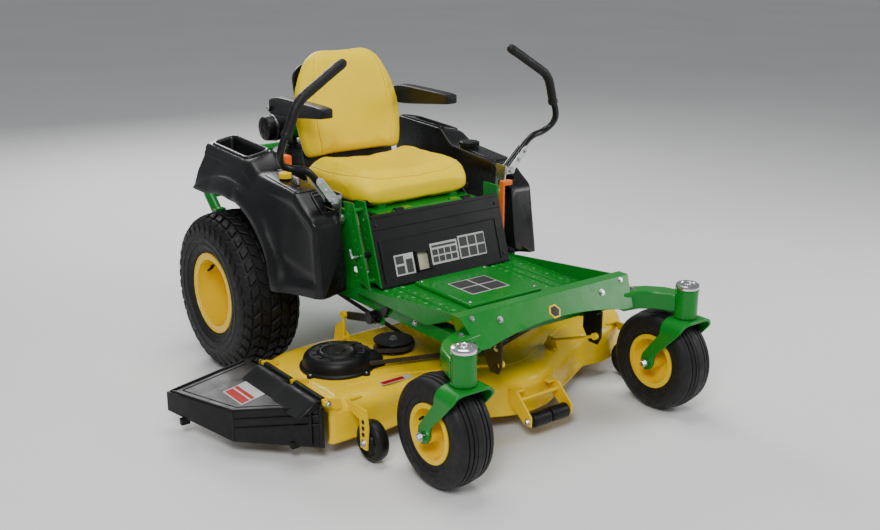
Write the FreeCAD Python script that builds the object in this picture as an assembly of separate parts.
"""Zero-turn riding lawn mower: chassis, wheels, seat, twin levers and side-discharge deck."""
import FreeCAD
import Part
import math
import os

V = FreeCAD.Vector

# Driving dimensions in millimetres. +X is the operator's left, the front faces -Y, +Z is up.
# The working origin is on the ground, on the centre plane, under the rear axle.
WHEEL_X = 484.5
WHEEL_R = 279.5
WHEEL_W = 230.0
WHEEL_RIM_R = 127.0
CASTER_X = 446.0
CASTER_Y = -1236.0
CASTER_TRAIL = 85.0
CASTER_R = 165.0
CASTER_W = 127.0
RAIL_X = 280.0
RAIL_W = 50.0
RAIL_Z = 330.0
FLOOR_Z = 378.0
ROCK_Y = -610.0
ROCK_Z = 312.0
LEVER_X = 346.0
LEVER_Y = -440.0
LEVER_Z = 600.0
SWING_X = 368.0
SWING_Z = 676.0
SEAT_HINGE_Y = -500.0
SEAT_HINGE_Z = 612.0
BACK_LEAN = 12.0
ARM_PIVOT_Y = 80.0
ARM_PIVOT_Z = 885.0
BRAKE_X = 297.0
BRAKE_Y = -508.0
BRAKE_Z = 440.0
FILLER_X = 402.0
FILLER_Y = -190.0
ENGINE_Y = 300.0
MUFFLER_Y = 539.0
BUMPER_BACK = 640.0
SPINDLE_X = 457.0
SPINDLE_Y = -610.0
SPINDLE_MID_Y = -770.0
LOBE_R = 252.0
DECK_BOTTOM = 50.0
DECK_TOP = 180.0
DECK_SKIN = 5.0
DECK_SIDE = -635.0
BELT_Z = 194.0
BELT_H = 13.0
BELT_T = 9.0
PULLEY_R = 56.0
BLADE_R = 230.0
CLUTCH_R = 60.0
IDLER_R = 60.0
IDLERS = {"right": (-235.0, -600.0), "left": (150.0, -420.0)}
GAUGE_X = 533.0
GAUGE_Y = -920.0
GAUGE_Z = 65.0
GAUGE_R = 63.0
ROLLER_Y = -1100.0
ROLLER_R = 24.0
CHUTE_X = -648.0
CHUTE_Z = 192.0
CHUTE_REACH = -930.0
CLEARANCE = 0.05
CASTER_WHEEL_Y = CASTER_Y + CASTER_TRAIL

FRONT = CASTER_WHEEL_Y - CASTER_R
SHIFT = V(-(CHUTE_REACH + SPINDLE_X + LOBE_R) / 2, -(FRONT + BUMPER_BACK) / 2, 0)


def box(x0, x1, y0, y1, z0, z1):
    return Part.makeBox(x1 - x0, y1 - y0, z1 - z0, V(x0, y0, z0))


def rod(start, end, radius):
    axis = V(*end) - V(*start)
    return Part.makeCylinder(radius, axis.Length, V(*start), axis)


def tube(start, end, radius, bore):
    return rod(start, end, radius).cut(rod(start, end, bore))


def prism_x(points, x0, x1):
    wire = Part.makePolygon([V(x0, y, z) for y, z in points] + [V(x0, *points[0])])
    return Part.Face(wire).extrude(V(x1 - x0, 0, 0))


def prism_y(points, y0, y1):
    wire = Part.makePolygon([V(x, y0, z) for x, z in points] + [V(points[0][0], y0, points[0][1])])
    return Part.Face(wire).extrude(V(0, y1 - y0, 0))


def prism_z(points, z0, z1):
    wire = Part.makePolygon([V(x, y, z0) for x, y in points] + [V(*points[0], z0)])
    return Part.Face(wire).extrude(V(0, 0, z1 - z0))


def spun_x(points, centre):
    """A profile of (x, radius) points spun about a line along X through the centre."""
    wire = Part.makePolygon([V(x, r, 0) for x, r in points] + [V(*points[0], 0)])
    solid = Part.Face(wire).revolve(V(0, 0, 0), V(1, 0, 0), 360)
    solid.translate(V(*centre))
    return solid


def spun_z(points, x, y):
    """A profile of (radius, z) points spun about a vertical line."""
    wire = Part.makePolygon([V(r, 0, z) for r, z in points] + [V(points[0][0], 0, points[0][1])])
    solid = Part.Face(wire).revolve(V(0, 0, 0), V(0, 0, 1), 360)
    solid.translate(V(x, y, 0))
    return solid


def bent_bar(points, radius):
    """A round bar through the points, with a ball at each bend."""
    bar = rod(points[0], points[1], radius)
    for start, end in zip(points[1:], points[2:]):
        bar = bar.fuse([Part.makeSphere(radius, V(*start)), rod(start, end, radius)])
    return bar.removeSplitter()


def fused(first, *others):
    return first.fuse(list(others)).removeSplitter()


def both(shape):
    return Part.makeCompound([shape, mirrored(shape)])


def mirrored(shape):
    return shape.mirror(V(0, 0, 0), V(1, 0, 0))


def fillet(shape, radius, keep=lambda edge: True):
    return shape.makeFillet(radius, [edge for edge in shape.Edges if keep(edge)])


def upright(edge):
    """True for a straight vertical edge."""
    ends = [vertex.Point for vertex in edge.Vertexes]
    return len(ends) == 2 and abs((ends[0] - ends[1]).normalize().z) > 0.99


# ---------------------------------------------------------------- wheels

def rear_tyre(x):
    half = WHEEL_W / 2
    bead = half - 23
    side = [(bead, WHEEL_RIM_R), (bead, 150), (half - 4, 172), (half, 205), (half - 3, 240),
            (half - 16, 264),
            (half - 38, 275), (0, WHEEL_R)]
    profile = [(-px, r) for px, r in side] + side[::-1][1:]
    inner = [(-bead + 14, WHEEL_RIM_R), (-bead + 10, 165), (-half + 20, 205), (-half + 36, 255), (0, 266)]
    hollow = inner + [(-px, r) for px, r in inner[::-1][1:]]
    tyre = spun_x(profile, (x, 0, WHEEL_R))
    return tyre.cut(spun_x(hollow, (x, 0, WHEEL_R)))


def rear_rim(x):
    """Dished rim with its hub and the drive shaft that runs in the transaxle."""
    edge = WHEEL_W / 2 - 23
    flange = edge + 5.5
    profile = [(-flange, 118), (-flange, 143), (-edge, 143), (-edge, WHEEL_RIM_R), (edge, WHEEL_RIM_R),
               (edge, 143),
               (flange, 143), (flange, 118), (edge - 12, 118), (-20, 108), (-58, 100), (-58, 0), (-66, 0),
               (-66, 112),
               (-edge + 6, 118)]
    rim = spun_x(profile, (x, 0, WHEEL_R))
    hub = rod((x - 90, 0, WHEEL_R), (x - 50, 0, WHEEL_R), 48)
    nose = rod((x - 60, 0, WHEEL_R), (x - 24, 0, WHEEL_R), 26)
    shaft = rod((190, 0, WHEEL_R), (x - 60, 0, WHEEL_R), 12.5)
    rim = fused(rim, hub, nose, shaft)
    for n in range(5):
        turn = math.radians(72 * n)
        spot = (x - 60, 38 * math.sin(turn), WHEEL_R + 38 * math.cos(turn))
        rim = rim.fuse(rod(spot, (x - 42, spot[1], spot[2]), 9))
    return rim.removeSplitter()


def caster_tyre(x):
    half = CASTER_W / 2
    bead = half - 13
    side = [(bead, 80), (bead, 94), (half - 2, 106), (half, 122), (half - 3, 142), (half - 14, 157),
            (30, 163), (0, CASTER_R)]
    profile = [(-px, r) for px, r in side] + side[::-1][1:]
    tyre = spun_x(profile, (x, CASTER_WHEEL_Y, CASTER_R))
    inner = [(-bead + 10, 80), (-bead + 8, 104), (-half + 12, 124), (-half + 20, 148), (0, 154)]
    hollow = inner + [(-px, r) for px, r in inner[::-1][1:]]
    return tyre.cut(spun_x(hollow, (x, CASTER_WHEEL_Y, CASTER_R)))


def caster_rim(x):
    edge = CASTER_W / 2 - 13
    flange = edge + 5
    half = [(flange, 74), (flange, 89), (edge, 89), (edge, 80)]
    profile = [(-px, r) for px, r in half] + half[::-1] + [(14, 66), (6, 22), (-6, 22), (-14, 66)]
    centre = (x, CASTER_WHEEL_Y, CASTER_R)
    hub = rod((x - 60, *centre[1:]), (x + 60, *centre[1:]), 24)
    bore = rod((x - 80, *centre[1:]), (x + 80, *centre[1:]), 9.5 + CLEARANCE)
    return fused(spun_x(profile, centre), hub).cut(bore)


def caster_fork(x):
    crown = box(x - 76, x + 76, CASTER_Y - 54, CASTER_Y + 11, 320, 332)
    sides = [(CASTER_Y - 54, 332), (CASTER_Y + 30, 332), (CASTER_WHEEL_Y + 22, 182),
             (CASTER_WHEEL_Y + 22, 146), (CASTER_WHEEL_Y - 32, 146), (CASTER_Y - 54, 292)]
    arms = [prism_x(sides, x + s - 4, x + s + 4) for s in (-72, 72)]
    stem = rod((x, CASTER_Y, 322), (x, CASTER_Y, 424), 15)
    axle = rod((x - 84, CASTER_WHEEL_Y, CASTER_R), (x + 84, CASTER_WHEEL_Y, CASTER_R), 9.5)
    heads = []
    for side in (-76, 76):
        end = x + side * 1.12
        heads.append(rod((x + side, CASTER_WHEEL_Y, CASTER_R), (end, CASTER_WHEEL_Y, CASTER_R), 15))
    return fused(crown, stem, axle, *arms, *heads)


# ---------------------------------------------------------------- chassis

def main_frame():
    """Two rails tied by cross-members and the engine plate, with the lever posts and lift bearings."""
    low, high = RAIL_Z, RAIL_Z + 42
    half = RAIL_W / 2
    rail = fused(
        box(RAIL_X - half, RAIL_X + half, -1040, 520, low, high),
        box(RAIL_X - half, RAIL_X + half, -520, 520, low, high + 28),
    )
    rail = rail.cut(box(RAIL_X - half + 5, RAIL_X + half - 5, -1065, 525, low + 5, high - 5))
    lug = box(RAIL_X + 12, RAIL_X + 22, ROCK_Y - 26, ROCK_Y + 26, ROCK_Z - 24, low + 2)
    post = box(RAIL_X + 20, RAIL_X + 32, -474, -400, low + 40, LEVER_Z + 30)
    foot = box(RAIL_X, RAIL_X + 32, -474, -400, high + 10, high + 36)
    pin = rod((RAIL_X + 24, LEVER_Y, LEVER_Z), (LEVER_X + 8, LEVER_Y, LEVER_Z), 8)
    side = fused(rail, lug, post, foot, pin)
    side = side.cut(rod((RAIL_X, ROCK_Y, ROCK_Z), (RAIL_X + 40, ROCK_Y, ROCK_Z), 12 + CLEARANCE))
    inner = RAIL_X - half + 2
    cross = [box(-inner, inner, y - 22, y + 22, low, high) for y in (-1005, -500, -150)]
    plate = box(-inner, inner, 60, 500, high + 20, high + 28)
    brake_pin = rod((inner - 2, BRAKE_Y, BRAKE_Z), (BRAKE_X + 9, BRAKE_Y, BRAKE_Z), 7)
    brake_post = box(inner - 6, inner + 5, BRAKE_Y - 14, BRAKE_Y + 14, high + 20, BRAKE_Z + 16)
    frame = fused(side, mirrored(side), *cross, plate, brake_pin, brake_post)
    crank = rod((0, ENGINE_Y, high), (0, ENGINE_Y, high + 40), 40)
    return frame.cut(crank)


def rear_bumper():
    """Tail frame round the engine, with the hitch plate across its foot."""
    inset = BUMPER_BACK - 21
    left = [(RAIL_X - 40, inset, 620), (RAIL_X, inset, 590), (RAIL_X, inset, 470),
            (RAIL_X, 560, 416), (RAIL_X, 538, 404)]
    right = [(-x, y, z) for x, y, z in reversed(left)]
    hoop = bent_bar(right + left, 21)
    bar = rod((-RAIL_X, inset, 470), (RAIL_X, inset, 470), 18)
    cross = box(-RAIL_X - 25, RAIL_X + 25, 521, 529, RAIL_Z, 399)
    hitch = box(-70, 70, 525, BUMPER_BACK - 6, RAIL_Z, RAIL_Z + 9)
    gusset = [(528, RAIL_Z + 5), (600, RAIL_Z + 5), (528, 395)]
    parts = [hoop, bar, cross, hitch]
    for side in (-1, 1):
        parts.append(prism_x(gusset, side * 60 - 4, side * 60 + 4))
        parts.append(box(side * RAIL_X - 21, side * RAIL_X + 21, 521, 548, 380, 428))
    bumper = fused(*parts)
    return bumper.cut(rod((0, 600, RAIL_Z - 5), (0, 600, RAIL_Z + 15), 10))


def crossbar_block():
    """Solid envelope of the crossbar, its front face leaning out towards the foot."""
    beam = prism_x([(-1040, 453), (-1080, 453), (-1140, 363), (-1040, 363)], -341, 341)
    for side in (-1, 1):
        corner = [(side * 341, 453), (side * 380, 453), (side * 380, 350), (side * 305, 350)]
        beam = beam.cut(prism_y(corner, -1200, -1000))
    return beam


def front_crossbar():
    """Folded front beam, hollow and arched along its lower edge."""
    arch_r = 1358
    arch = rod((0, -1200, 391 - arch_r), (0, -1000, 391 - arch_r), arch_r)
    inner = prism_x([(-1048, 445), (-1075, 445), (-1127, 371), (-1048, 371)], -300, 300)
    return crossbar_block().cut([arch, inner])


def caster_arms():
    outline = [(290, -1046), (352, -1060), (412, -1092), (452, -1138), (480, -1215),
               (446, -1240), (410, -1208), (390, -1160), (350, -1128), (290, -1118)]
    arm = prism_z(outline, 345, 405)
    arm = fillet(arm, 8, lambda e: not upright(e))
    barrel = rod((CASTER_X, CASTER_Y, 333), (CASTER_X, CASTER_Y, 425), 36)
    arm = fused(arm, barrel)
    bore = rod((CASTER_X, CASTER_Y, 300), (CASTER_X, CASTER_Y, 440), 15 + CLEARANCE)
    arm = arm.cut([crossbar_block(), bore])
    arm = [solid for solid in arm.Solids if solid.BoundBox.XMax > CASTER_X][0]
    return both(arm)


def foot_platform():
    """Folded floor: flat at the back, rising to the crossbar, with side flanges."""
    top = [(-524, FLOOR_Z), (-900, FLOOR_Z), (-1082, 447), (-1078, 453), (-896, FLOOR_Z + 6),
           (-524, FLOOR_Z + 6)]
    floor = prism_x(top, -324, 324)
    flange = [(-523, FLOOR_Z), (-523, 390), (-1060, 449), (-1060, 438), (-900, 372), (-523, 372)]
    sides = [prism_x(flange, s * 321 - 3, s * 321 + 3) for s in (-1, 1)]
    platform = fused(floor, *sides)
    rows = (-290, -250, -210, 210, 250, 290)
    ribs = [box(x - 4, x + 4, -880, -560, FLOOR_Z + 5, FLOOR_Z + 9) for x in rows]
    return fused(platform, *ribs).cut(crossbar_block())


def platform_cover():
    plate = box(-150, 150, -890, -600, FLOOR_Z + 6, FLOOR_Z + 20)
    plate = fillet(plate, 8, lambda e: e.BoundBox.ZMin > FLOOR_Z + 10 or upright(e))
    handle = box(-40, 40, -760, -730, FLOOR_Z + 12, FLOOR_Z + 30)
    return plate.cut(handle)


def front_panel():
    """Leaning panel below the seat, returned at the sides, with the seat hinge knuckles along its top."""
    skin = [(-589, 391), (-516, 616), (-512, 616), (-585, 391)]
    panel = prism_x(skin, -268, 268)
    cheek = [(-589, 391), (-516, 616), (-495, 590), (-540, 391)]
    sides = [prism_x(cheek, s * 266 - 2, s * 266 + 2) for s in (-1, 1)]
    shelf = box(-268, 268, -589, -530, 387, 392)
    knuckles = []
    for x in (-140, 140):
        block = box(x - 16, x + 16, -517, SEAT_HINGE_Y + 2, 596, SEAT_HINGE_Z)
        knuckles.append(block)
        knuckles.append(rod((x - 16, SEAT_HINGE_Y, SEAT_HINGE_Z), (x + 16, SEAT_HINGE_Y, SEAT_HINGE_Z), 12))
    panel = fused(panel, shelf, *sides, *knuckles)
    window = box(-112, -68, -600, -500, 422, 478)
    bore = rod((-170, SEAT_HINGE_Y, SEAT_HINGE_Z), (170, SEAT_HINGE_Y, SEAT_HINGE_Z), 6 + CLEARANCE)
    return panel.cut([window, bore])


def fender_section(x, front, crest, shoulder, sill, rim, back, inset):
    """One upright outline of the fender: front, console slope, tray rim and tail, shrunk by the inset."""
    low = 372 - 6 * inset
    points = [
        (front[0] + inset, low),
        (crest[0] + inset, crest[1] - inset),
        (shoulder[0] + inset, shoulder[1] - inset),
        (sill[0], sill[1] - inset),
        (rim[0], rim[1] - inset),
        (back[0] - inset, back[1] - inset),
        (back[0] - inset, low),
    ]
    return Part.makePolygon([V(x, y, z) for y, z in points] + [V(x, *points[0])])


def fender_volume(inset):
    """Fender body from its inner wall over the crest to its outer wall, or a smaller one to hollow it."""
    drop = 16 * inset
    inner = [(-528, 0), (-512, 620), (-392, 690), (-130, 716), (-66, 768 - drop), (226, 780 - drop)]
    crest = [(-522, 0), (-507, 621), (-380, 690), (-140, 714), (-82, 746 - drop), (214, 760 - drop)]
    outer = [(-345, 0), (-262, 562), (-222, 612), (-120, 626), (-80, 630), (206, 646)]
    walls = [fender_section(-357 - inset, *inner, inset), fender_section(-458, *crest, inset),
             fender_section(-520 + inset, *outer, inset)]
    return Part.makeLoft(walls, True, True)


def fender_shell():
    """Moulded fender over a rear wheel, with the storage tray in its top and a slot for the lever."""
    shell = fender_volume(0).cut(fender_volume(4))
    arch = rod((-300, 0, WHEEL_R), (-560, 0, WHEEL_R), 342)
    tail = box(-560, -300, -160, 300, 300, 604)
    shell = shell.cut([arch, tail])
    tray = box(-450, -372, -52, 196, 712, 800)
    tray = fillet(tray, 14, lambda e: upright(e) or e.BoundBox.ZMax < 713)
    slot = box(-402, -350, -500, -396, 634, 730)
    return shell.cut([tray, slot])


def fender_right():
    """Right fender with the operator's switches: throttle slot and pin, knob bore and key bore."""
    shell = fender_shell()
    pin = rod((-359, -190, 668), (-392, -190, 668), 4)
    boss = rod((-359, -190, 668), (-366, -190, 668), 10)
    knob_boss = rod((-412, -240, 688), (-412, -240, 703), 14)
    key_boss = rod((-412, -310, 680), (-412, -310, 696), 12)
    shell = fused(shell, pin, boss, knob_boss, key_boss)
    slot = box(-384, -372, -236, -144, 690, 740)
    knob_bore = rod((-412, -240, 640), (-412, -240, 740), 6 + CLEARANCE)
    key_bore = rod((-412, -310, 640), (-412, -310, 740), 5 + CLEARANCE)
    return shell.cut([slot, knob_bore, key_bore])


def fender_left():
    """Left fender with the fuel filler neck and cap."""
    neck = rod((FILLER_X, FILLER_Y, 690), (FILLER_X, FILLER_Y, 718), 30)
    cap = rod((FILLER_X, FILLER_Y, 716), (FILLER_X, FILLER_Y, 734), 38)
    ribs = []
    for n in range(12):
        x = FILLER_X + 38 * math.cos(math.radians(30 * n))
        y = FILLER_Y + 38 * math.sin(math.radians(30 * n))
        ribs.append(rod((x, y, 717), (x, y, 732), 3))
    return fused(mirrored(fender_shell()), neck, cap, *ribs)


def engine_crankcase():
    """Vertical-shaft twin: crankcase and two finned cylinders spread towards the back."""
    case = rod((0, ENGINE_Y, 400), (0, ENGINE_Y, 560), 105)
    foot = rod((0, ENGINE_Y, 400), (0, ENGINE_Y, 418), 130)
    parts = [foot]
    for side in (-1, 1):
        barrel = rod((0, ENGINE_Y, 490), (side * 150, ENGINE_Y + 130, 490), 52)
        parts.append(barrel)
        for n in range(5):
            reach = 110 + 17 * n
            fin = box(reach, reach + 6, -62, 62, 428, 552)
            fin.rotate(V(0, 0, 0), V(0, 0, 1), 41 if side > 0 else 139)
            fin.translate(V(0, ENGINE_Y, 0))
            parts.append(fin)
        head = box(196, 222, -56, 56, 434, 546)
        head.rotate(V(0, 0, 0), V(0, 0, 1), 41 if side > 0 else 139)
        head.translate(V(0, ENGINE_Y, 0))
        parts.append(head)
    shaft = rod((0, ENGINE_Y, 296), (0, ENGINE_Y, 402), 14)
    stub = rod((0, ENGINE_Y, 190), (0, ENGINE_Y, 300), 12.5)
    return fused(case, shaft, stub, *parts)


def engine_shroud():
    outline = [(0, 562), (150, 562), (158, 575), (158, 640), (140, 672), (104, 690), (0, 694)]
    shroud = spun_z(outline, 0, ENGINE_Y)
    hollow = spun_z([(0, 560), (146, 560), (150, 580), (150, 636), (134, 662), (100, 682), (0, 686)],
                    0, ENGINE_Y)
    shroud = shroud.cut(hollow)
    floor = tube((0, ENGINE_Y, 561), (0, ENGINE_Y, 567), 150, 60)
    slots = []
    for ring in (46, 72, 96):
        outer = rod((0, ENGINE_Y, 670), (0, ENGINE_Y, 700), ring + 5)
        slots.append(outer.cut(rod((0, ENGINE_Y, 660), (0, ENGINE_Y, 710), ring - 5)))
    cross = fused(box(-120, 120, ENGINE_Y - 7, ENGINE_Y + 7, 650, 700),
                  box(-7, 7, ENGINE_Y - 120, ENGINE_Y + 120, 650, 700))
    slots = [slot.cut(cross) for slot in slots]
    return fused(shroud, floor).cut(slots)


def air_cleaner():
    """Canister lying across the engine on two saddles."""
    y, z = ENGINE_Y + 40, 762
    outline = [(-176, 0), (-176, 30), (-170, 45), (-138, 48), (-132, 52), (-128, 52), (-122, 47),
               (86, 47), (94, 34), (94, 0)]
    can = spun_x(outline, (0, y, z))
    straps = [box(x - 9, x + 9, y - 30, y + 30, 682, z - 30) for x in (-56, 52)]
    intake = rod((-40, y, z), (-40, y + 64, z), 26)
    shroud = spun_z([(0, 500), (158, 500), (158, 640), (140, 672), (104, 690), (0, 694)], 0, ENGINE_Y)
    return fused(can, intake, *straps).cut(shroud)


def muffler():
    can = spun_x([(-150, 0), (-150, 52), (-142, 60), (142, 60), (150, 52), (150, 0)], (0, MUFFLER_Y, 472))
    pipes = []
    for side in (-1, 1):
        path = [(side * 122, 466, 440), (side * 122, 500, 446), (side * 110, MUFFLER_Y - 16, 468)]
        pipes.append(bent_bar(path, 14))
    outlet = tube((80, MUFFLER_Y, 480), (200, MUFFLER_Y, 480), 17, 13)
    bracket = box(-40, 40, 500, MUFFLER_Y, 400, 408)
    leg = box(-40, 40, MUFFLER_Y - 8, MUFFLER_Y, 400, 424)
    body = fused(can, outlet, bracket, leg, *pipes)
    clear = engine_crankcase()
    return body.cut(clear)


def fuel_tank():
    body = box(-236, -8, -500, -266, 410, 560)
    nose = prism_x([(-570, 412), (-532, 530), (-300, 530), (-300, 412)], -190, -50)
    return fillet(fused(body, nose), 10, upright)


def transaxles():
    """A pump and gear housing at each rear wheel, carrying the drive shafts."""
    y, z = 0, WHEEL_R
    gear = rod((244, y, z), (330, y, z), 50)
    horn = rod((326, y, z), (358, y, z), 28)
    pump = fillet(box(150, 252, y - 74, y + 40, z - 62, z + 51), 16)
    post = box(258, 302, y - 40, y + 40, z + 30, RAIL_Z)
    side = fused(gear, horn, pump, post)
    side = side.cut([rod((180, y, z), (380, y, z), 12.5 + CLEARANCE)])
    return both(side)


def hanger_plates():
    plate = prism_x([(-1110, 363), (-1110, 275), (-1096, 250), (-1060, 250), (-1030, 290), (-1030, 363)],
                    200, 206)
    flange = box(180, 206, -1110, -1044, 357, 363)
    plate = fused(plate, flange).cut(rod((190, -1093, 279), (216, -1093, 279), 9))
    return both(plate)


def height_plates():
    """Two leaning plates on the right with a row of holes that set the cutting height."""
    plates = []
    for x in (-325, -282):
        strip = prism_x([(-516, 668), (-458, 664), (-546, 418), (-606, 400)], x - 2.5, x + 2.5)
        for n in range(7):
            step = 0.12 + 0.11 * n
            y = -487 - 89 * step
            z = 666 - 254 * step
            strip = strip.cut(rod((x - 5, y, z), (x + 5, y, z), 6))
        plates.append(strip)
    ties = [rod((-325, -503, 640), (-282, -503, 640), 7), rod((-325, -566, 418), (-282, -566, 418), 7)]
    foot = box(-285, -268, -560, -520, 404, 432)
    return fused(plates[0], plates[1], foot, *ties)


# ---------------------------------------------------------------- engine drive

def clutch_pulley():
    bore = 12.5 + CLEARANCE
    drum = [(bore, 196), (CLUTCH_R + 8, 196), (CLUTCH_R + 8, 200), (CLUTCH_R - 5, 206), (CLUTCH_R - 5, 274)]
    top = [(CLUTCH_R + 8, 280), (CLUTCH_R + 8, 286), (bore, 286)]
    profile = [(r, z - 14) for r, z in drum] + top
    return spun_z(profile, 0, ENGINE_Y)


def belt_loop(offset):
    """Closed path of the drive belt round its pulleys; offset widens it to the outer face of the belt."""
    stops = [
        ((0.0, ENGINE_Y), CLUTCH_R + 1, 1),
        (IDLERS["right"], IDLER_R + 1, -1),
        ((-SPINDLE_X, SPINDLE_Y), PULLEY_R + 1, 1),
        ((0.0, SPINDLE_MID_Y), PULLEY_R + 1, 1),
        ((SPINDLE_X, SPINDLE_Y), PULLEY_R + 1, 1),
        (IDLERS["left"], IDLER_R + 1, -1),
    ]
    rings = []
    for centre, radius, turn in stops:
        rings.append((V(*centre, 0), turn * (radius + (offset if turn > 0 else BELT_T - offset))))
    legs = []
    for n, (start, r0) in enumerate(rings):
        end, r1 = rings[(n + 1) % len(rings)]
        line = end - start
        swing = math.asin((r0 - r1) / line.Length)
        heading = math.atan2(line.y, line.x) + swing
        side = V(math.sin(heading), -math.cos(heading), 0)
        legs.append((start + side * r0, end + side * r1))
    edges = []
    for n, (start, end) in enumerate(legs):
        edges.append(Part.makeLine(start, end))
        centre, radius = rings[(n + 1) % len(rings)]
        after = legs[(n + 1) % len(legs)][0]
        begin = math.atan2(end.y - centre.y, end.x - centre.x)
        finish = math.atan2(after.y - centre.y, after.x - centre.x)
        full = 2 * math.pi
        sweep = (finish - begin) % full if radius > 0 else -((begin - finish) % full)
        half = begin + sweep / 2
        middle = centre + V(math.cos(half), math.sin(half), 0) * abs(radius)
        edges.append(Part.Arc(end, middle, after).toShape())
    return Part.Wire(edges)


def deck_belt():
    outer = Part.Face(belt_loop(BELT_T)).extrude(V(0, 0, BELT_H))
    inner = Part.Face(belt_loop(0)).extrude(V(0, 0, BELT_H))
    belt = outer.cut(inner)
    belt.translate(V(0, 0, BELT_Z))
    return belt


def idler(side):
    x, y = IDLERS[side]
    bore = 8 + CLEARANCE
    profile = [(bore, 186), (IDLER_R + 6, 186), (IDLER_R + 6, 189), (IDLER_R, 192), (IDLER_R, 210),
               (IDLER_R + 6, 213),
               (IDLER_R + 6, 216), (bore, 216)]
    return spun_z(profile, x, y)


# ---------------------------------------------------------------- cutter deck

def deck_outline(grow, z0, z1):
    """The three-lobed deck plan, grown by the given amount and given a height."""
    radius = LOBE_R + grow
    height = z1 - z0
    centres = [V(-SPINDLE_X, SPINDLE_Y, z0), V(0, SPINDLE_MID_Y, z0), V(SPINDLE_X, SPINDLE_Y, z0)]
    shape = Part.makeCylinder(radius, height, centres[0])
    shape = shape.fuse([Part.makeCylinder(radius, height, c) for c in centres[1:]])
    back = SPINDLE_Y + radius
    shape = shape.fuse(box(-SPINDLE_X, SPINDLE_X, SPINDLE_MID_Y, back, z0, z1))
    for side in (-1, 1):
        nose = (side * 120, SPINDLE_MID_Y - radius * 0.88)
        cheek = (side * (SPINDLE_X - 70), SPINDLE_Y - radius * 0.96)
        wing = [(0, SPINDLE_MID_Y), nose, cheek, (side * SPINDLE_X, SPINDLE_Y)]
        shape = shape.fuse(prism_z(wing, z0, z1))
    mouth = [(-SPINDLE_X, -850 - grow), (DECK_SIDE - grow, -850 - grow),
             (DECK_SIDE - grow, SPINDLE_Y + 170 + grow),
             (-SPINDLE_X, back)]
    shape = shape.fuse(prism_z(mouth, z0, z1))
    keep = box(DECK_SIDE - grow, 900, -1200, 0, z0, z1)
    return shape.common(keep).removeSplitter()


def deck_shell():
    """Pressed deck: skirt, stepped shoulder and flat top, open below and at the discharge side."""
    skin = DECK_SKIN
    hollow = deck_outline(-28 - skin, DECK_BOTTOM - 1, DECK_TOP - skin)
    wide = deck_outline(-skin, DECK_BOTTOM - 1, 150 - skin)
    middle = deck_outline(-14 - skin, DECK_BOTTOM - 1, 166 - skin)
    shell = deck_body().cut([hollow, wide, middle])
    mouth = box(DECK_SIDE - 10, DECK_SIDE + 22, -835, -450, DECK_BOTTOM - 1, 145)
    holes = [rod((x, y, 100), (x, y, 200), 36) for x, y in spindles()]
    return shell.cut([mouth, *holes])


def spindles():
    return [(-SPINDLE_X, SPINDLE_Y), (0, SPINDLE_MID_Y), (SPINDLE_X, SPINDLE_Y)]


def spindle_housings():
    """Bearing housings bolted over the three spindle holes, and the posts the idlers turn on."""
    parts = []
    for x, y in spindles():
        bore = 12.5 + CLEARANCE
        parts.append(spun_z([(bore, 108), (30, 108), (36, 120), (36, DECK_TOP), (66, DECK_TOP), (66, 185),
                             (bore, 185)], x, y))
    for x, y in IDLERS.values():
        stem = rod((x, y, DECK_TOP), (x, y, 222), 8)
        collar = rod((x, y, DECK_TOP), (x, y, 185), 20)
        parts.append(fused(stem, collar))
    return Part.makeCompound(parts)


def belt_covers():
    """Domed covers over the two side spindles, open towards the belt run."""
    covers = []
    corridor = Part.Face(belt_loop(BELT_T + 6)).extrude(V(0, 0, 25))
    corridor = corridor.cut(Part.Face(belt_loop(-6)).extrude(V(0, 0, 25)))
    corridor.translate(V(0, 0, BELT_Z - 6))
    for side in (-1, 1):
        x, y = side * SPINDLE_X, SPINDLE_Y
        outer = rod((x, y, DECK_TOP), (x, y, 235), 108)
        tail = box(min(x, x - side * 120), max(x, x - side * 120), y - 90, y + 84, DECK_TOP, 218)
        body = fused(fillet(outer, 9, lambda e: e.BoundBox.ZMin > 230), tail)
        inner = rod((x, y, DECK_TOP - 1), (x, y, 231), 104)
        gap = box(min(x, x - side * 130), max(x, x - side * 130), y - 86, y + 80, DECK_TOP - 1, 214)
        covers.append(body.cut([inner, gap, corridor]))
    return Part.makeCompound(covers)


def blade(x, y, along_y):
    """Spindle shaft with its driven pulley on top and the cutting blade below, its sail tips turned up."""
    rim = PULLEY_R + 8
    pulley = spun_z([(0, 188), (rim, 188), (rim, 191), (PULLEY_R, 193), (PULLEY_R, 208), (rim, 210),
                     (rim, 213), (0, 213)], 0, 0)
    shaft = rod((0, 0, 74), (0, 0, 222), 12.5)
    bar = box(-BLADE_R, BLADE_R, -29, 29, 74, 80)
    sail = prism_x([(29, 74), (12, 74), (12, 80), (24, 98), (29, 98)], 134, BLADE_R - 6)
    disc = rod((0, 0, 80), (0, 0, 104), 30)
    bolt = rod((0, 0, 62), (0, 0, 76), 16)
    other = sail.copy()
    other.rotate(V(0, 0, 0), V(0, 0, 1), 180)
    swept = rod((0, 0, 60), (0, 0, 230), BLADE_R)
    whole = fused(bar, shaft, pulley, disc, bolt, sail, other).common(swept)
    if along_y:
        whole.rotate(V(0, 0, 0), V(0, 0, 1), 90)
    whole.translate(V(x, y, 0))
    return whole


def lift_bracket():
    """Left lift bracket on the deck top, with the link that hangs beside the lift arm."""
    x, y = 346, -475
    plate = prism_x([(-490, DECK_TOP), (-400, DECK_TOP), (-410, 228), (-440, 250), (-490, 214)],
                    x - 14, x - 8)
    link = rod((x, y, 206), (x, y, 300), 6)
    eye = rod((x - 6, y, 288), (x + 6, y, 288), 13)
    tie = rod((x - 16, y, 206), (x + 8, y, 206), 8)
    return fused(plate, link, eye, tie)


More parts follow.
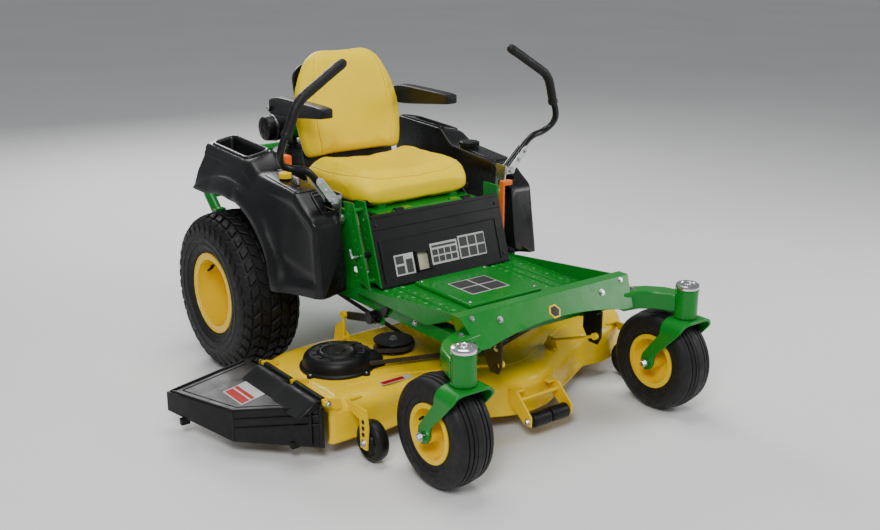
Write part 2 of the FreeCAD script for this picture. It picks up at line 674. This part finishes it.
def draft_rod():
    """Left front ear on the deck with the rod that runs forward beside the hanger plate."""
    ear = prism_x([(-928, DECK_TOP), (-860, DECK_TOP), (-880, 216), (-910, 216)], 193, 199)
    draft = rod((192, -895, 204), (192, -1093, 279), 5)
    knob = rod((186, -1093, 279), (198, -1093, 279), 11)
    return fused(ear, draft, knob)


def gauge_bracket():
    """Left gauge wheel bracket: a foot on the deck shoulder, a drop plate and the axle."""
    x = GAUGE_X
    outline = [(GAUGE_Y - 16, 46), (GAUGE_Y + 16, 46), (GAUGE_Y + 20, 134), (-812, 150), (-812, 172),
               (GAUGE_Y - 14, 172), (GAUGE_Y - 24, 120)]
    plate = prism_x(outline, x + 27, x + 33)
    axle = rod((x - 25, GAUGE_Y, GAUGE_Z), (x + 33, GAUGE_Y, GAUGE_Z), 7)
    nut = rod((x - 32, GAUGE_Y, GAUGE_Z), (x - 24, GAUGE_Y, GAUGE_Z), 12)
    foot = box(x - 20, x + 33, -836, -812, 166, 172)
    return fused(plate, axle, nut, foot)


def roller_frame():
    """Arms from the deck nose to the front roller, with the roller spindle."""
    arms = []
    for side in (-1, 1):
        x = side * 84
        arms.append(prism_x([(ROLLER_Y - 14, 52), (ROLLER_Y + 14, 52), (-1000, 108), (-1000, 142),
                             (-1050, 142), (ROLLER_Y - 14, 82)],
                            x - 3, x + 3))
        arms.append(box(min(x, x * 0.6), max(x, x * 0.6), -1040, -1000, 138, 144))
    spindle = rod((-90, ROLLER_Y, GAUGE_Z), (90, ROLLER_Y, GAUGE_Z), 7)
    tie = rod((-84, -1052, 118), (84, -1052, 118), 6)
    return fused(spindle, tie, *arms)


def chute_hinge():
    """Hinge pin along the discharge side, held by three ears."""
    ears = []
    for y in (-846, -664, -482):
        ears.append(prism_y([(CHUTE_X - 8, CHUTE_Z - 8), (CHUTE_X - 8, CHUTE_Z + 8),
                             (CHUTE_X + 10, CHUTE_Z + 8), (-596, 186),
                             (-596, 160), (-612, 160)], y - 5, y + 5))
    return fused(rod((CHUTE_X, -862, CHUTE_Z), (CHUTE_X, -470, CHUTE_Z), 5), *ears)


def deck_body():
    """The deck's outer form in its three steps, before it is hollowed."""
    skirt = deck_outline(0, DECK_BOTTOM, 150)
    return fused(skirt, deck_outline(-14, 150, 166), deck_outline(-28, 166, DECK_TOP))


def deck_brackets():
    """All that is bolted to the deck: lift, draft, gauge wheel, roller and chute hinge brackets."""
    sides = [lift_bracket(), draft_rod(), gauge_bracket()]
    parts = sides + [mirrored(part) for part in sides] + [roller_frame(), chute_hinge()]
    body = deck_body()
    return Part.makeCompound([part.cut(body) for part in parts])


def gauge_wheel(x):
    profile = [(-20, 7 + CLEARANCE), (-20, 22), (-14, 26), (-14, 40), (-20, 46), (-22, 54),
               (-16, GAUGE_R), (16, GAUGE_R), (22, 54),
               (20, 46), (14, 40), (14, 26), (20, 22), (20, 7 + CLEARANCE)]
    return spun_x(profile, (x, GAUGE_Y, GAUGE_Z))


def front_roller():
    half = [(3, 7 + CLEARANCE), (3, 20), (8, ROLLER_R), (68, ROLLER_R), (74, 18), (74, 7 + CLEARANCE)]
    right = [(-px, r) for px, r in half]
    neck = [(-6, 7 + CLEARANCE), (-6, 14), (6, 14), (6, 7 + CLEARANCE)]
    centre = (0, ROLLER_Y, GAUGE_Z)
    return fused(spun_x(half, centre), spun_x(right, centre), spun_x(neck, centre))


def discharge_chute():
    """Deflector hinged along the deck side: sloping roof with a front and an outer skirt."""
    inner, tip = CHUTE_X - 8, CHUTE_REACH
    plan = [(inner, -852), (inner, -380), (tip, -370), (-850, -655)]
    slope = [(CHUTE_X + 10, 182), (CHUTE_X + 10, 176), (tip - 10, 122), (tip - 10, 128)]
    roof = prism_z(plan, 40, 220).common(prism_y(slope, -900, -340))
    inset = [(inner + 10, -842), (inner + 10, -340), (tip + 9, -340), (-846, -648)]
    skirt = prism_z(plan, 48, 200).cut(prism_z(inset, 40, 220))
    below = prism_y([(CHUTE_X + 10, 180), (tip - 10, 126), (tip - 10, 70), (-850, 48),
                     (CHUTE_X + 10, 48)], -900, -340)
    skirt = skirt.common(below)
    parts = [skirt]
    for y0, y1 in ((-834, -676), (-652, -494)):
        parts.append(rod((CHUTE_X, y0, CHUTE_Z), (CHUTE_X, y1, CHUTE_Z), 10))
        parts.append(box(CHUTE_X - 14, CHUTE_X - 2, y0, y1, 174, CHUTE_Z))
    chute = fused(roof, *parts)
    return chute.cut(rod((CHUTE_X, -900, CHUTE_Z), (CHUTE_X, -440, CHUTE_Z), 5 + CLEARANCE))


def rockshaft():
    """Cross shaft with a lift arm at each end; its arms point down when the deck is low."""
    shaft = rod((-340, ROCK_Y, ROCK_Z), (340, ROCK_Y, ROCK_Z), 12)
    parts = []
    for side in (-1, 1):
        x = side * 333
        arm = fused(
            box(x - 4, x + 4, ROCK_Y, ROCK_Y + 128, ROCK_Z - 13, ROCK_Z + 13),
            rod((x - 4, ROCK_Y + 128, ROCK_Z), (x + 4, ROCK_Y + 128, ROCK_Z), 13),
            rod((x - 6, ROCK_Y, ROCK_Z), (x + 6, ROCK_Y, ROCK_Z), 20),
        )
        arm.rotate(V(0, ROCK_Y, ROCK_Z), V(1, 0, 0), -12)
        parts.append(arm)
    return fused(shaft, *parts)


def lift_pedal():
    """Foot pedal clamped to the right end of the rockshaft, reaching up in front of the platform."""
    clamp = tube((-317, ROCK_Y, ROCK_Z), (-305.5, ROCK_Y, ROCK_Z), 22, 12)
    arm = prism_x([(ROCK_Y - 6, ROCK_Z + 14), (ROCK_Y - 44, 350), (ROCK_Y - 62, 366), (ROCK_Y - 80, 366),
                   (ROCK_Y - 66, 338), (ROCK_Y - 18, ROCK_Z)],
                  -317, -306)
    return fused(clamp, arm)


# ---------------------------------------------------------------- levers

def lever_bracket():
    """Fore-and-aft bracket on its post pin, with two ears that carry the lever's swing bolt."""
    hub = rod((LEVER_X - 24, LEVER_Y, LEVER_Z), (LEVER_X - 2, LEVER_Y, LEVER_Z), 17)
    outline = [(LEVER_Y - 22, LEVER_Z - 18), (LEVER_Y + 22, LEVER_Z - 18), (LEVER_Y + 18, 696),
               (LEVER_Y - 34, 696)]
    plate = prism_x(outline, LEVER_X - 6, LEVER_X)
    ears = []
    for y in (LEVER_Y - 34, LEVER_Y + 12):
        ears.append(box(LEVER_X - 2, SWING_X + 12, y, y + 6, SWING_Z - 12, SWING_Z + 14))
    bolt = rod((SWING_X, LEVER_Y - 40, SWING_Z), (SWING_X, LEVER_Y + 24, SWING_Z), 6)
    head = rod((SWING_X, LEVER_Y - 41, SWING_Z), (SWING_X, LEVER_Y - 34, SWING_Z), 10)
    bracket = fused(hub, plate, bolt, head, *ears)
    return bracket.cut(rod((LEVER_X - 30, LEVER_Y, LEVER_Z), (LEVER_X + 10, LEVER_Y, LEVER_Z),
                           8 + CLEARANCE))


def lever_bar():
    hub = rod((SWING_X, LEVER_Y - 27, SWING_Z), (SWING_X, LEVER_Y + 11, SWING_Z), 13)
    path = [(SWING_X + 4, LEVER_Y - 8, SWING_Z + 2), (392, -450, 706), (458, -464, 778),
            (512, -460, 792), (548, -468, 812), (562, -482, 847), (541, -489, 905)]
    bar = bent_bar(path, 12)
    lever = fused(hub, bar)
    return lever.cut(rod((SWING_X, LEVER_Y - 60, SWING_Z), (SWING_X, LEVER_Y + 40, SWING_Z), 6 + CLEARANCE))


def lever_grip():
    """Foam-sleeved upper part: rises, then turns in over the operator's lap."""
    path = [(541, -489, 905), (515, -497, 977), (502, -497, 1002), (478, -496, 1020), (338, -490, 1107)]
    grip = bent_bar(path, 16)
    collar = tube((541, -489, 905), (538, -490, 913), 18, 12)
    grip = grip.fuse([Part.makeSphere(16, V(338, -490, 1107)), collar])
    core = bent_bar([(562, -482, 847), (541, -489, 905)], 12)
    return grip.cut(core)


# ---------------------------------------------------------------- seat

def seat_pan():
    """Hinged plate under the seat with its hinge pin and slide rails."""
    pan = box(-205, 205, SEAT_HINGE_Y + 18, -70, 600, 606)
    ears = []
    for x in (-100, 100):
        ears.append(box(x - 16, x + 16, SEAT_HINGE_Y - 4, SEAT_HINGE_Y + 26, 600, SEAT_HINGE_Z + 6))
    pin = rod((-164, SEAT_HINGE_Y, SEAT_HINGE_Z), (164, SEAT_HINGE_Y, SEAT_HINGE_Z), 6)
    rails = [box(x - 14, x + 14, -420, -90, 605, 617) for x in (-150, 150)]
    return fused(pan, pin, *ears, *rails)


def seat_shell():
    """Base and leaning back plate, with the armrest pins across the back."""
    base = fillet(box(-228, 228, -416, -40, 624, 640), 14, upright)
    shoes = []
    for x in (-150, 150):
        shoe = box(x - 24, x + 24, -380, -130, 608, 626)
        shoes.append(shoe.cut(box(x - 15, x + 15, -390, -120, 600, 617.5)))
    back = box(-190, 190, 0, 12, 0, 400)
    back = fillet(back, 60, lambda e: abs(e.BoundBox.YLength - 12) < 0.1 and e.BoundBox.ZMin > 100)
    back.rotate(V(0, 0, 0), V(1, 0, 0), -BACK_LEAN)
    back.translate(V(0, 0, 640))
    heel = box(-190, 190, -44, 6, 630, 660)
    pivot = rod((-292, ARM_PIVOT_Y, ARM_PIVOT_Z), (292, ARM_PIVOT_Y, ARM_PIVOT_Z), 9)
    mount = box(-170, 170, ARM_PIVOT_Y - 22, ARM_PIVOT_Y + 12, ARM_PIVOT_Z - 22, ARM_PIVOT_Z + 16)
    return fused(base, back, heel, pivot, mount, *shoes)


def seat_cushion():
    outline = [(-430, 641), (-432, 668), (-404, 706), (-330, 722), (-116, 714), (-64, 733), (-60, 641)]
    pad = prism_x(outline, -256, 256)
    return fillet(pad, 20, lambda e: e.BoundBox.XLength < 1 and e.BoundBox.ZMin > 640.9)


def seat_backrest():
    """Tapered back cushion, leaning back against the shell."""
    outline = [(-204, -32), (-226, 110), (-214, 230), (-176, 320), (-104, 352), (104, 352),
               (176, 320), (214, 230), (226, 110), (204, -32)]
    pad = prism_y(outline, -66, 0)
    pad = fillet(pad, 22, lambda e: e.BoundBox.YLength < 1 and e.BoundBox.YMax < -60)
    pad.translate(V(0, 0, 96))
    pad.rotate(V(0, 0, 0), V(1, 0, 0), -BACK_LEAN)
    pad.translate(V(0, 0, 640))
    return pad.cut(seat_shell())


def armrest():
    """Padded wedge on the pivot pin, deep at the back and thin at the front."""
    side = [(-272, 890), (-274, 922), (-262, 932), (20, 934), (96, 914), (104, 880), (86, 862), (30, 858)]
    pad = fillet(prism_x(side, 234, 286), 9)
    return pad.cut(rod((200, ARM_PIVOT_Y, ARM_PIVOT_Z), (300, ARM_PIVOT_Y, ARM_PIVOT_Z), 9 + CLEARANCE))


# ---------------------------------------------------------------- controls

def park_brake_lever():
    """Upright flat bar with a handle turned outwards at its top."""
    x = BRAKE_X
    hub = rod((x - 5, BRAKE_Y, BRAKE_Z), (x + 5, BRAKE_Y, BRAKE_Z), 16)
    bar = box(x - 4, x + 4, BRAKE_Y - 10, BRAKE_Y + 10, BRAKE_Z, 652)
    arm = fillet(box(x - 4, x + 39, BRAKE_Y - 12, BRAKE_Y + 12, 636, 654), 5)
    lever = fused(hub, bar, arm)
    return lever.cut(rod((x - 20, BRAKE_Y, BRAKE_Z), (x + 20, BRAKE_Y, BRAKE_Z), 7 + CLEARANCE))


def throttle_lever():
    x = -378
    hub = rod((x - 4, -190, 668), (x + 4, -190, 668), 11)
    stalk = box(x - 2.5, x + 2.5, -195, -185, 668, 742)
    paddle = fillet(box(x - 12, x + 12, -210, -170, 738, 776), 6)
    return fused(hub, stalk, paddle).cut(rod((x - 20, -190, 668), (x + 20, -190, 668), 4 + CLEARANCE))


def pto_knob():
    stem = rod((-412, -240, 660), (-412, -240, 716), 6)
    knob = rod((-412, -240, 711), (-412, -240, 730), 21)
    knob = fillet(knob, 4, lambda e: e.BoundBox.ZMin > 728)
    stop = rod((-412, -240, 660), (-412, -240, 666), 10)
    return fused(stem, knob, stop)


def ignition_key():
    stem = rod((-412, -310, 672), (-412, -310, 704), 5)
    grip = box(-415, -409, -324, -296, 702, 728)
    return fused(stem, fillet(grip, 2))


NODES = {
    "main_frame": main_frame,
    "rear_bumper": rear_bumper,
    "front_crossbar": front_crossbar,
    "caster_arms": caster_arms,
    "foot_platform": foot_platform,
    "platform_cover": platform_cover,
    "front_panel": front_panel,
    "fender_right": fender_right,
    "fender_left": fender_left,
    "engine_crankcase": engine_crankcase,
    "engine_shroud": engine_shroud,
    "air_cleaner": air_cleaner,
    "muffler": muffler,
    "fuel_tank": fuel_tank,
    "transaxles": transaxles,
    "hanger_plates": hanger_plates,
    "height_plates": height_plates,
    "clutch_pulley": clutch_pulley,
    "deck_shell": deck_shell,
    "belt_covers": belt_covers,
    "spindle_housings": spindle_housings,
    "deck_brackets": deck_brackets,
    "deck_belt": deck_belt,
    "idler_right": lambda: idler("right"),
    "idler_left": lambda: idler("left"),
    "discharge_chute": discharge_chute,
    "front_roller": front_roller,
    "rockshaft": rockshaft,
    "lift_pedal": lift_pedal,
    "seat_pan": seat_pan,
    "seat_shell": seat_shell,
    "seat_cushion": seat_cushion,
    "seat_backrest": seat_backrest,
    "park_brake_lever": park_brake_lever,
    "throttle_lever": throttle_lever,
    "pto_knob": pto_knob,
    "ignition_key": ignition_key,
    "blade_right": lambda: blade(-SPINDLE_X, SPINDLE_Y, True),
    "blade_centre": lambda: blade(0, SPINDLE_MID_Y, False),
    "blade_left": lambda: blade(SPINDLE_X, SPINDLE_Y, True),
}

PAIRS = {
    "rear_tyre": lambda: rear_tyre(WHEEL_X),
    "rear_rim": lambda: rear_rim(WHEEL_X),
    "caster_fork": lambda: caster_fork(CASTER_X),
    "caster_tyre": lambda: caster_tyre(CASTER_X),
    "caster_rim": lambda: caster_rim(CASTER_X),
    "gauge_wheel": lambda: gauge_wheel(GAUGE_X),
    "lever_bracket": lever_bracket,
    "lever_bar": lever_bar,
    "lever_grip": lever_grip,
    "armrest": armrest,
}


def save(name, shape):
    placed = shape.copy()
    placed.translate(SHIFT)
    placed.exportStep(os.path.join("parts", name + ".step"))
    box_ = shape.BoundBox
    print(f"{name:18s} {len(shape.Solids)} solids valid {shape.isValid()}  x {box_.XMin:.0f} {box_.XMax:.0f}"
          f"  y {box_.YMin:.0f} {box_.YMax:.0f}  z {box_.ZMin:.0f} {box_.ZMax:.0f}")


os.makedirs("parts", exist_ok=True)
for name, make in NODES.items():
    save(name, make())
for name, make in PAIRS.items():
    left = make()
    save(name + "_left", left)
    save(name + "_right", mirrored(left))
